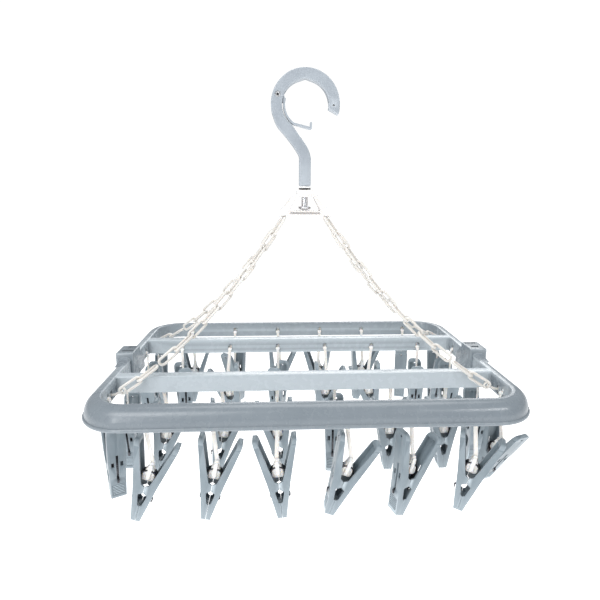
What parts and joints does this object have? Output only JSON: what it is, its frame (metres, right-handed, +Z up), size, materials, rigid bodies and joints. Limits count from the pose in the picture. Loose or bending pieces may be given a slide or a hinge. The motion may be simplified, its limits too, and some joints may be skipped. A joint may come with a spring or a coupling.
{
  "type": "clip drying hanger",
  "caption": "Folding rectangular drying hanger: a swivel hook carries a two-leaf plastic frame on four chains, with spring clips hung on straps.",
  "frame": {"origin": "the hook's seat, the highest point inside its ring, where a rail or line holds the hanger up", "axes": "+Z up, +X along the long side of the frame, +Y from the front half to the rear half"},
  "size_m": [0.4054, 0.2846, 0.405],
  "materials": {
    "hook_plastic": "smooth moulded, faint sheen",
    "gate_plastic": "smooth moulded",
    "frame_plastic": "smooth moulded, soft gloss",
    "peg_plastic": "satin moulded",
    "hub_plastic": "ivory moulded",
    "washer_plastic": "white moulded",
    "chain_plastic": "ivory moulded",
    "strap_plastic": "translucent milky",
    "pin_steel": "drawn wire",
    "spring_steel": "dark spring steel"
  },
  "bodies": {
    "hook": {"hook_body": "hook_plastic", "gate_pin": "pin_steel", "swivel_pin": "pin_steel", "swivel_washer": "washer_plastic"},
    "gate": {"hook_gate": "gate_plastic"},
    "hub": {"hub": "hub_plastic"},
    "chain_front_left": {"chain_front_left": "chain_plastic"},
    "chain_front_right": {"chain_front_right": "chain_plastic"},
    "chain_rear_left": {"chain_rear_left": "chain_plastic"},
    "chain_rear_right": {"chain_rear_right": "chain_plastic"},
    "hinge_pins": {"hinge_pin_left": "pin_steel", "hinge_pin_right": "pin_steel"},
    "front_half": {"frame_front": "frame_plastic", "chain_hook_front_left": "chain_plastic", "chain_hook_front_right": "chain_plastic"},
    "rear_half": {"frame_rear": "frame_plastic", "chain_hook_rear_left": "chain_plastic", "chain_hook_rear_right": "chain_plastic"},
    "peg_front_1": {"strap_front_1": "strap_plastic", "spring_front_1": "spring_steel"},
    "jaw_left_front_1": {"jaw_left_front_1": "peg_plastic"},
    "jaw_right_front_1": {"jaw_right_front_1": "peg_plastic"},
    "peg_front_2": {"strap_front_2": "strap_plastic", "spring_front_2": "spring_steel"},
    "jaw_left_front_2": {"jaw_left_front_2": "peg_plastic"},
    "jaw_right_front_2": {"jaw_right_front_2": "peg_plastic"},
    "peg_front_3": {"strap_front_3": "strap_plastic", "spring_front_3": "spring_steel"},
    "jaw_left_front_3": {"jaw_left_front_3": "peg_plastic"},
    "jaw_right_front_3": {"jaw_right_front_3": "peg_plastic"},
    "peg_front_4": {"peg_front_4": "peg_plastic"},
    "peg_front_5": {"peg_front_5": "peg_plastic"},
    "peg_front_6": {"peg_front_6": "peg_plastic"},
    "peg_front_bar_1": {"peg_front_bar_1": "peg_plastic"},
    "peg_front_bar_2": {"peg_front_bar_2": "peg_plastic"},
    "peg_front_bar_3": {"peg_front_bar_3": "peg_plastic"},
    "peg_front_bar_4": {"peg_front_bar_4": "peg_plastic"},
    "peg_front_bar_5": {"peg_front_bar_5": "peg_plastic"},
    "peg_front_bar_6": {"peg_front_bar_6": "peg_plastic"},
    "peg_rear_bar_1": {"peg_rear_bar_1": "peg_plastic"},
    "peg_rear_bar_2": {"peg_rear_bar_2": "peg_plastic"},
    "peg_rear_bar_3": {"peg_rear_bar_3": "peg_plastic"},
    "peg_rear_bar_4": {"peg_rear_bar_4": "peg_plastic"},
    "peg_rear_bar_5": {"peg_rear_bar_5": "peg_plastic"},
    "peg_rear_bar_6": {"peg_rear_bar_6": "peg_plastic"},
    "peg_rear_1": {"peg_rear_1": "peg_plastic"},
    "peg_rear_2": {"peg_rear_2": "peg_plastic"},
    "peg_rear_3": {"peg_rear_3": "peg_plastic"},
    "peg_rear_4": {"peg_rear_4": "peg_plastic"},
    "peg_rear_5": {"peg_rear_5": "peg_plastic"},
    "peg_rear_6": {"peg_rear_6": "peg_plastic"},
    "peg_left_1": {"peg_left_1": "peg_plastic"},
    "peg_left_2": {"peg_left_2": "peg_plastic"},
    "peg_left_3": {"peg_left_3": "peg_plastic"},
    "peg_left_4": {"peg_left_4": "peg_plastic"},
    "peg_right_1": {"peg_right_1": "peg_plastic"},
    "peg_right_2": {"peg_right_2": "peg_plastic"},
    "peg_right_3": {"peg_right_3": "peg_plastic"},
    "peg_right_4": {"peg_right_4": "peg_plastic"}
  },
  "joints": [
    {"name": "hook_swivel", "type": "hinge", "parent": "hook", "child": "hub", "pos_m": [0, 0, -0.11], "axis": [0, 0, 1], "continuous": true},
    {"name": "gate_close", "type": "hinge", "parent": "hook", "child": "gate", "pos_m": [-0.0274, 0, -0.0152], "axis": [0, -1, 0], "range_deg": [0, 27]},
    {"name": "frame_lift", "type": "slide", "parent": "hub", "child": "hinge_pins", "axis": [0, 0, 1], "range_m": [0, 0.054]},
    {"name": "frame_fold", "type": "hinge", "parent": "hinge_pins", "child": "front_half", "pos_m": [0, 0, -0.302], "axis": [1, 0, 0], "range_deg": [0, 45]},
    {"name": "rear_fold", "type": "hinge", "parent": "hinge_pins", "child": "rear_half", "pos_m": [0, 0, -0.302], "axis": [1, 0, 0], "range_deg": [-45, 0]},
    {"name": "chain_front_left_swing", "type": "hinge", "parent": "hub", "child": "chain_front_left", "pos_m": [0, -0.0065, -0.1358], "axis": [1, 0, 0], "range_deg": [-5, 5]},
    {"name": "chain_front_right_swing", "type": "hinge", "parent": "hub", "child": "chain_front_right", "pos_m": [0, -0.0065, -0.1358], "axis": [1, 0, 0], "range_deg": [-5, 5]},
    {"name": "chain_rear_left_swing", "type": "hinge", "parent": "hub", "child": "chain_rear_left", "pos_m": [0, 0.0065, -0.1358], "axis": [1, 0, 0], "range_deg": [-5, 5]},
    {"name": "chain_rear_right_swing", "type": "hinge", "parent": "hub", "child": "chain_rear_right", "pos_m": [0, 0.0065, -0.1358], "axis": [1, 0, 0], "range_deg": [-5, 5]},
    {"name": "peg_front_1_swing", "type": "hinge", "parent": "front_half", "child": "peg_front_1", "pos_m": [-0.145, -0.1237, -0.3025], "axis": [1, 0, 0], "range_deg": [-50, 50]},
    {"name": "jaw_left_front_1_open", "type": "hinge", "parent": "peg_front_1", "child": "jaw_left_front_1", "pos_m": [-0.145, -0.1237, -0.359], "axis": [0, 1, 0], "range_deg": [0, 4], "stiffness_Nm_per_rad": 0.5, "springref_deg": -20.05},
    {"name": "jaw_right_front_1_open", "type": "hinge", "parent": "peg_front_1", "child": "jaw_right_front_1", "pos_m": [-0.145, -0.1237, -0.359], "axis": [0, 1, 0], "range_deg": [-4, 0]},
    {"name": "peg_front_2_swing", "type": "hinge", "parent": "front_half", "child": "peg_front_2", "pos_m": [-0.087, -0.1237, -0.3025], "axis": [1, 0, 0], "range_deg": [-50, 50]},
    {"name": "jaw_left_front_2_open", "type": "hinge", "parent": "peg_front_2", "child": "jaw_left_front_2", "pos_m": [-0.087, -0.1237, -0.359], "axis": [0, 1, 0], "range_deg": [0, 9], "stiffness_Nm_per_rad": 0.5, "springref_deg": -20.05},
    {"name": "jaw_right_front_2_open", "type": "hinge", "parent": "peg_front_2", "child": "jaw_right_front_2", "pos_m": [-0.087, -0.1237, -0.359], "axis": [0, 1, 0], "range_deg": [-9, 0]},
    {"name": "peg_front_3_swing", "type": "hinge", "parent": "front_half", "child": "peg_front_3", "pos_m": [-0.029, -0.1237, -0.3025], "axis": [1, 0, 0], "range_deg": [-50, 50]},
    {"name": "jaw_left_front_3_open", "type": "hinge", "parent": "peg_front_3", "child": "jaw_left_front_3", "pos_m": [-0.029, -0.1237, -0.359], "axis": [0, 1, 0], "range_deg": [0, 9], "stiffness_Nm_per_rad": 0.5, "springref_deg": -20.05},
    {"name": "jaw_right_front_3_open", "type": "hinge", "parent": "peg_front_3", "child": "jaw_right_front_3", "pos_m": [-0.029, -0.1237, -0.359], "axis": [0, 1, 0], "range_deg": [-9, 0]},
    {"name": "peg_front_4_swing", "type": "hinge", "parent": "front_half", "child": "peg_front_4", "pos_m": [0.029, -0.1237, -0.3025], "axis": [1, 0, 0], "range_deg": [-50, 50]},
    {"name": "peg_front_5_swing", "type": "hinge", "parent": "front_half", "child": "peg_front_5", "pos_m": [0.087, -0.1237, -0.3025], "axis": [1, 0, 0], "range_deg": [-50, 50]},
    {"name": "peg_front_6_swing", "type": "hinge", "parent": "front_half", "child": "peg_front_6", "pos_m": [0.145, -0.1237, -0.3025], "axis": [1, 0, 0], "range_deg": [-50, 50]},
    {"name": "peg_front_bar_1_swing", "type": "hinge", "parent": "front_half", "child": "peg_front_bar_1", "pos_m": [-0.145, -0.0513, -0.3014], "axis": [1, 0, 0], "range_deg": [-50, 50]},
    {"name": "peg_front_bar_2_swing", "type": "hinge", "parent": "front_half", "child": "peg_front_bar_2", "pos_m": [-0.087, -0.0513, -0.3014], "axis": [1, 0, 0], "range_deg": [-50, 50]},
    {"name": "peg_front_bar_3_swing", "type": "hinge", "parent": "front_half", "child": "peg_front_bar_3", "pos_m": [-0.029, -0.0513, -0.3014], "axis": [1, 0, 0], "range_deg": [-50, 50]},
    {"name": "peg_front_bar_4_swing", "type": "hinge", "parent": "front_half", "child": "peg_front_bar_4", "pos_m": [0.029, -0.0513, -0.3014], "axis": [1, 0, 0], "range_deg": [-50, 50]},
    {"name": "peg_front_bar_5_swing", "type": "hinge", "parent": "front_half", "child": "peg_front_bar_5", "pos_m": [0.087, -0.0513, -0.3014], "axis": [1, 0, 0], "range_deg": [-50, 50]},
    {"name": "peg_front_bar_6_swing", "type": "hinge", "parent": "front_half", "child": "peg_front_bar_6", "pos_m": [0.145, -0.0513, -0.3014], "axis": [1, 0, 0], "range_deg": [-50, 50]},
    {"name": "peg_rear_bar_1_swing", "type": "hinge", "parent": "rear_half", "child": "peg_rear_bar_1", "pos_m": [-0.145, 0.0513, -0.3014], "axis": [1, 0, 0], "range_deg": [-50, 50]},
    {"name": "peg_rear_bar_2_swing", "type": "hinge", "parent": "rear_half", "child": "peg_rear_bar_2", "pos_m": [-0.087, 0.0513, -0.3014], "axis": [1, 0, 0], "range_deg": [-50, 50]},
    {"name": "peg_rear_bar_3_swing", "type": "hinge", "parent": "rear_half", "child": "peg_rear_bar_3", "pos_m": [-0.029, 0.0513, -0.3014], "axis": [1, 0, 0], "range_deg": [-50, 50]},
    {"name": "peg_rear_bar_4_swing", "type": "hinge", "parent": "rear_half", "child": "peg_rear_bar_4", "pos_m": [0.029, 0.0513, -0.3014], "axis": [1, 0, 0], "range_deg": [-50, 50]},
    {"name": "peg_rear_bar_5_swing", "type": "hinge", "parent": "rear_half", "child": "peg_rear_bar_5", "pos_m": [0.087, 0.0513, -0.3014], "axis": [1, 0, 0], "range_deg": [-50, 50]},
    {"name": "peg_rear_bar_6_swing", "type": "hinge", "parent": "rear_half", "child": "peg_rear_bar_6", "pos_m": [0.145, 0.0513, -0.3014], "axis": [1, 0, 0], "range_deg": [-50, 50]},
    {"name": "peg_rear_1_swing", "type": "hinge", "parent": "rear_half", "child": "peg_rear_1", "pos_m": [-0.145, 0.1237, -0.3025], "axis": [1, 0, 0], "range_deg": [-50, 50]},
    {"name": "peg_rear_2_swing", "type": "hinge", "parent": "rear_half", "child": "peg_rear_2", "pos_m": [-0.087, 0.1237, -0.3025], "axis": [1, 0, 0], "range_deg": [-50, 50]},
    {"name": "peg_rear_3_swing", "type": "hinge", "parent": "rear_half", "child": "peg_rear_3", "pos_m": [-0.029, 0.1237, -0.3025], "axis": [1, 0, 0], "range_deg": [-50, 50]},
    {"name": "peg_rear_4_swing", "type": "hinge", "parent": "rear_half", "child": "peg_rear_4", "pos_m": [0.029, 0.1237, -0.3025], "axis": [1, 0, 0], "range_deg": [-50, 50]},
    {"name": "peg_rear_5_swing", "type": "hinge", "parent": "rear_half", "child": "peg_rear_5", "pos_m": [0.087, 0.1237, -0.3025], "axis": [1, 0, 0], "range_deg": [-50, 50]},
    {"name": "peg_rear_6_swing", "type": "hinge", "parent": "rear_half", "child": "peg_rear_6", "pos_m": [0.145, 0.1237, -0.3025], "axis": [1, 0, 0], "range_deg": [-50, 50]},
    {"name": "peg_left_1_swing", "type": "hinge", "parent": "front_half", "child": "peg_left_1", "pos_m": [-0.1854, -0.089, -0.2948], "axis": [1, 0, 0], "range_deg": [-50, 50]},
    {"name": "peg_left_2_swing", "type": "hinge", "parent": "front_half", "child": "peg_left_2", "pos_m": [-0.1854, -0.041, -0.2948], "axis": [1, 0, 0], "range_deg": [-50, 50]},
    {"name": "peg_left_3_swing", "type": "hinge", "parent": "rear_half", "child": "peg_left_3", "pos_m": [-0.1854, 0.041, -0.2948], "axis": [1, 0, 0], "range_deg": [-50, 50]},
    {"name": "peg_left_4_swing", "type": "hinge", "parent": "rear_half", "child": "peg_left_4", "pos_m": [-0.1854, 0.089, -0.2948], "axis": [1, 0, 0], "range_deg": [-50, 50]},
    {"name": "peg_right_1_swing", "type": "hinge", "parent": "front_half", "child": "peg_right_1", "pos_m": [0.1854, -0.089, -0.2948], "axis": [1, 0, 0], "range_deg": [-50, 50]},
    {"name": "peg_right_2_swing", "type": "hinge", "parent": "front_half", "child": "peg_right_2", "pos_m": [0.1854, -0.041, -0.2948], "axis": [1, 0, 0], "range_deg": [-50, 50]},
    {"name": "peg_right_3_swing", "type": "hinge", "parent": "rear_half", "child": "peg_right_3", "pos_m": [0.1854, 0.041, -0.2948], "axis": [1, 0, 0], "range_deg": [-50, 50]},
    {"name": "peg_right_4_swing", "type": "hinge", "parent": "rear_half", "child": "peg_right_4", "pos_m": [0.1854, 0.089, -0.2948], "axis": [1, 0, 0], "range_deg": [-50, 50]}
  ],
  "couplings": [
    {"joint": "frame_lift", "follows": "frame_fold", "m_per_rad": 0.06857},
    {"joint": "rear_fold", "follows": "frame_fold", "ratio": -1},
    {"joint": "chain_front_left_swing", "follows": "frame_fold", "ratio": -0.019911},
    {"joint": "chain_front_right_swing", "follows": "frame_fold", "ratio": -0.019911},
    {"joint": "chain_rear_left_swing", "follows": "frame_fold", "ratio": 0.019911},
    {"joint": "chain_rear_right_swing", "follows": "frame_fold", "ratio": 0.019911},
    {"joint": "peg_front_1_swing", "follows": "frame_fold", "ratio": -1},
    {"joint": "jaw_right_front_1_open", "follows": "jaw_left_front_1_open", "ratio": -1},
    {"joint": "peg_front_2_swing", "follows": "frame_fold", "ratio": -1},
    {"joint": "jaw_right_front_2_open", "follows": "jaw_left_front_2_open", "ratio": -1},
    {"joint": "peg_front_3_swing", "follows": "frame_fold", "ratio": -1},
    {"joint": "jaw_right_front_3_open", "follows": "jaw_left_front_3_open", "ratio": -1},
    {"joint": "peg_front_4_swing", "follows": "frame_fold", "ratio": -1},
    {"joint": "peg_front_5_swing", "follows": "frame_fold", "ratio": -1},
    {"joint": "peg_front_6_swing", "follows": "frame_fold", "ratio": -1},
    {"joint": "peg_front_bar_1_swing", "follows": "frame_fold", "ratio": -1},
    {"joint": "peg_front_bar_2_swing", "follows": "frame_fold", "ratio": -1},
    {"joint": "peg_front_bar_3_swing", "follows": "frame_fold", "ratio": -1},
    {"joint": "peg_front_bar_4_swing", "follows": "frame_fold", "ratio": -1},
    {"joint": "peg_front_bar_5_swing", "follows": "frame_fold", "ratio": -1},
    {"joint": "peg_front_bar_6_swing", "follows": "frame_fold", "ratio": -1},
    {"joint": "peg_rear_bar_1_swing", "follows": "frame_fold", "ratio": 1},
    {"joint": "peg_rear_bar_2_swing", "follows": "frame_fold", "ratio": 1},
    {"joint": "peg_rear_bar_3_swing", "follows": "frame_fold", "ratio": 1},
    {"joint": "peg_rear_bar_4_swing", "follows": "frame_fold", "ratio": 1},
    {"joint": "peg_rear_bar_5_swing", "follows": "frame_fold", "ratio": 1},
    {"joint": "peg_rear_bar_6_swing", "follows": "frame_fold", "ratio": 1},
    {"joint": "peg_rear_1_swing", "follows": "frame_fold", "ratio": 1},
    {"joint": "peg_rear_2_swing", "follows": "frame_fold", "ratio": 0.9},
    {"joint": "peg_rear_3_swing", "follows": "frame_fold", "ratio": 1},
    {"joint": "peg_rear_4_swing", "follows": "frame_fold", "ratio": 1},
    {"joint": "peg_rear_5_swing", "follows": "frame_fold", "ratio": 1},
    {"joint": "peg_rear_6_swing", "follows": "frame_fold", "ratio": 0.9},
    {"joint": "peg_left_1_swing", "follows": "frame_fold", "ratio": -0.75},
    {"joint": "peg_left_2_swing", "follows": "frame_fold", "ratio": -0.75},
    {"joint": "peg_left_3_swing", "follows": "frame_fold", "ratio": 0.75},
    {"joint": "peg_left_4_swing", "follows": "frame_fold", "ratio": 0.75},
    {"joint": "peg_right_1_swing", "follows": "frame_fold", "ratio": -0.75},
    {"joint": "peg_right_2_swing", "follows": "frame_fold", "ratio": -0.75},
    {"joint": "peg_right_3_swing", "follows": "frame_fold", "ratio": 0.75},
    {"joint": "peg_right_4_swing", "follows": "frame_fold", "ratio": 0.75}
  ]
}
